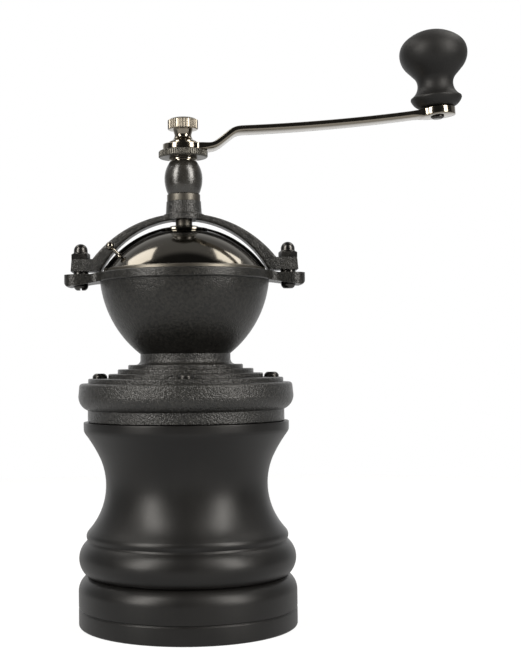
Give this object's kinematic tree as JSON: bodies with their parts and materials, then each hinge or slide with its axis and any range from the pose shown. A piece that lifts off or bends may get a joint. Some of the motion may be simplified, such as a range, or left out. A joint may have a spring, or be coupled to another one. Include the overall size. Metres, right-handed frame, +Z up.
{
  "type": "manual coffee grinder",
  "caption": "Hand-cranked coffee grinder with a turned black wood body, an iron bowl under a polished dome, an arched yoke and a bent crank with a wooden knob.",
  "frame": {"origin": "centre of the flat foot, on the surface that it stands on", "axes": "+Z up along the crankshaft, +X towards the crank's knob, -Y towards the door of the dome"},
  "size_m": [0.1516, 0.081, 0.2201],
  "materials": {
    "black_wood": "satin black lacquer over turned hardwood",
    "cast_iron": "fine sand-cast grain under a thin dark coat",
    "black_enamel": "semi-gloss black with faint turning marks",
    "black_nickel": "polished black nickel plate",
    "nickel": "nickel plate, softly polished",
    "dark_steel": "blackened steel, with an oily sheen",
    "steel": "plain turned steel",
    "burr_steel": "hardened steel, as ground",
    "bronze": "plain bearing bronze"
  },
  "bodies": {
    "cup": {"grounds_cup": "black_wood"},
    "housing": {"wood_housing": "black_wood", "base_casting": "cast_iron", "base_screws": "dark_steel", "outer_burr": "burr_steel", "burr_screws": "steel", "hopper_bowl": "cast_iron", "lower_bush": "bronze", "yoke": "cast_iron", "upper_bush": "steel", "ear_screws": "dark_steel", "ear_washers": "dark_steel", "cap_nuts": "dark_steel", "dome": "black_nickel", "dome_ferrule": "black_nickel"},
    "door": {"dome_door": "black_nickel", "door_knob": "black_nickel"},
    "crank": {"ball_spacer": "black_enamel", "spacer_collar": "nickel", "crank_arm": "nickel", "knob_pin": "nickel"},
    "adjuster": {"adjusting_nut": "dark_steel"},
    "spindle": {"shaft": "steel", "inner_burr": "burr_steel", "burr_washer": "steel", "burr_nut": "steel", "burr_spring": "steel"},
    "thumb": {"thumb_nut": "nickel"},
    "handle": {"knob": "black_wood"}
  },
  "joints": [
    {"name": "cup_off", "type": "slide", "parent": "cup", "child": "housing", "axis": [0, 0, 1], "range_m": [0, 0.045]},
    {"name": "crank_turn", "type": "hinge", "parent": "housing", "child": "crank", "pos_m": [0, 0, 0.166], "axis": [0, 0, 1], "continuous": true},
    {"name": "adjuster_turn", "type": "hinge", "parent": "crank", "child": "adjuster", "pos_m": [0, 0, 0.1747], "axis": [0, 0, 1], "range_deg": [-275, 275]},
    {"name": "spindle_lift", "type": "slide", "parent": "crank", "child": "spindle", "axis": [0, 0, 1], "range_m": [-0.00075, 0.00075], "deforming": ["burr_spring"]},
    {"name": "thumb_turn", "type": "hinge", "parent": "crank", "child": "thumb", "pos_m": [0, 0, 0.1833], "axis": [0, 0, 1], "continuous": true},
    {"name": "knob_spin", "type": "hinge", "parent": "crank", "child": "handle", "pos_m": [0.09532, 0, 0.19115], "axis": [-0.0523, 0, 0.9986], "continuous": true},
    {"name": "door_turn", "type": "hinge", "parent": "housing", "child": "door", "pos_m": [0, 0, 0.1462], "axis": [0, 0, 1], "range_deg": [0, 140]}
  ],
  "couplings": [
    {"joint": "adjuster_turn", "follows": "spindle_lift", "rad_per_m": -6283.2}
  ]
}
